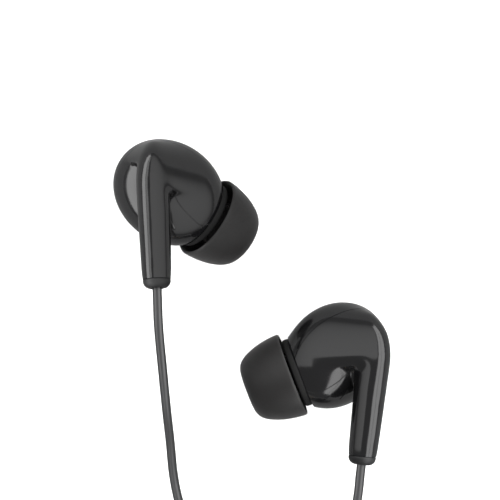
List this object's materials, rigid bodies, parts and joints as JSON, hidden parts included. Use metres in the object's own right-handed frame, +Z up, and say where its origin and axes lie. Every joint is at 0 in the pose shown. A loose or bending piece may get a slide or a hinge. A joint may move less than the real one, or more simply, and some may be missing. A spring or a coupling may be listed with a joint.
{
  "type": "wired earphones",
  "caption": "Wired in-ear earphones with stems: glossy black earbuds, silicone ear tips, cord with remote at the junction and 3.5 mm plug, spare cord coiled and tied.",
  "frame": {"origin": "on the table, under the middle of the box round the two earbuds", "axes": "+Z up from the table the earphones lie on, stems point to -Y, the right earbud is on the -X side"},
  "size_m": [0.0449, 0.1393, 0.0225],
  "materials": {
    "gloss_black_abs": "high gloss",
    "matte_black_plastic": "matte",
    "black_silicone": "soft matte silicone",
    "black_tpe": "satin cord jacket",
    "steel_mesh": "plain steel",
    "nickel_plate": "nickel plated",
    "driver_film": "thin driver film",
    "gold_plate": "gold plated brass",
    "green_board": "circuit board"
  },
  "bodies": {
    "set": {"left_coil": "black_tpe", "left_cord_crimp": "steel_mesh", "left_cord_lower": "black_tpe", "left_cord_upper": "black_tpe", "left_driver_basket": "matte_black_plastic", "left_inner_shell": "gloss_black_abs", "left_magnet": "nickel_plate", "left_magnet_pot": "steel_mesh", "left_nozzle_collar": "matte_black_plastic", "left_nozzle_grille": "steel_mesh", "left_outer_shell": "gloss_black_abs", "left_stem_end_cap": "matte_black_plastic", "left_tie": "matte_black_plastic", "main_coil": "black_tpe", "main_cord_lower": "black_tpe", "main_cord_upper": "black_tpe", "main_tie": "matte_black_plastic", "play_switch": "steel_mesh", "plug_grip": "matte_black_plastic", "plug_insulator_1": "matte_black_plastic", "plug_insulator_2": "matte_black_plastic", "plug_insulator_3": "matte_black_plastic", "plug_ring_1": "gold_plate", "plug_ring_2": "gold_plate", "plug_sleeve": "gold_plate", "plug_strain_relief": "black_tpe", "plug_tip": "gold_plate", "remote_board": "green_board", "remote_lower_shell": "matte_black_plastic", "remote_upper_shell": "matte_black_plastic", "right_coil": "black_tpe", "right_cord_crimp": "steel_mesh", "right_cord_lower": "black_tpe", "right_cord_upper": "black_tpe", "right_driver_basket": "matte_black_plastic", "right_inner_shell": "gloss_black_abs", "right_magnet": "nickel_plate", "right_magnet_pot": "steel_mesh", "right_nozzle_collar": "matte_black_plastic", "right_nozzle_grille": "steel_mesh", "right_outer_shell": "gloss_black_abs", "right_stem_end_cap": "matte_black_plastic", "right_tie": "matte_black_plastic", "volume_down_switch": "steel_mesh", "volume_up_switch": "steel_mesh"},
    "right_tip": {"right_ear_tip": "black_silicone"},
    "left_tip": {"left_ear_tip": "black_silicone"},
    "right_diaphragm": {"right_voice_coil": "driver_film"},
    "left_diaphragm": {"left_voice_coil": "driver_film"},
    "volume_up": {"volume_up_button": "matte_black_plastic"},
    "play": {"play_button": "matte_black_plastic"},
    "volume_down": {"volume_down_button": "matte_black_plastic"}
  },
  "joints": [
    {"name": "right_tip_pull", "type": "slide", "parent": "set", "child": "right_tip", "axis": [0.756, -0.5008, -0.4215], "range_m": [0, 0.006]},
    {"name": "left_tip_pull", "type": "slide", "parent": "set", "child": "left_tip", "axis": [-0.9337, -0.3546, -0.05], "range_m": [0, 0.006]},
    {"name": "right_diaphragm_move", "type": "slide", "parent": "set", "child": "right_diaphragm", "axis": [0.756, -0.5008, -0.4215], "range_m": [-0.00012, 0.00012], "stiffness_N_per_m": 50},
    {"name": "left_diaphragm_move", "type": "slide", "parent": "set", "child": "left_diaphragm", "axis": [-0.9337, -0.3546, -0.05], "range_m": [-0.00012, 0.00012], "stiffness_N_per_m": 50},
    {"name": "volume_up_press", "type": "slide", "parent": "set", "child": "volume_up", "axis": [0, 0, -1], "range_m": [0, 0.0003], "stiffness_N_per_m": 1000},
    {"name": "play_press", "type": "slide", "parent": "set", "child": "play", "axis": [0, 0, -1], "range_m": [0, 0.0003], "stiffness_N_per_m": 1000},
    {"name": "volume_down_press", "type": "slide", "parent": "set", "child": "volume_down", "axis": [0, 0, -1], "range_m": [0, 0.0003], "stiffness_N_per_m": 1000}
  ]
}
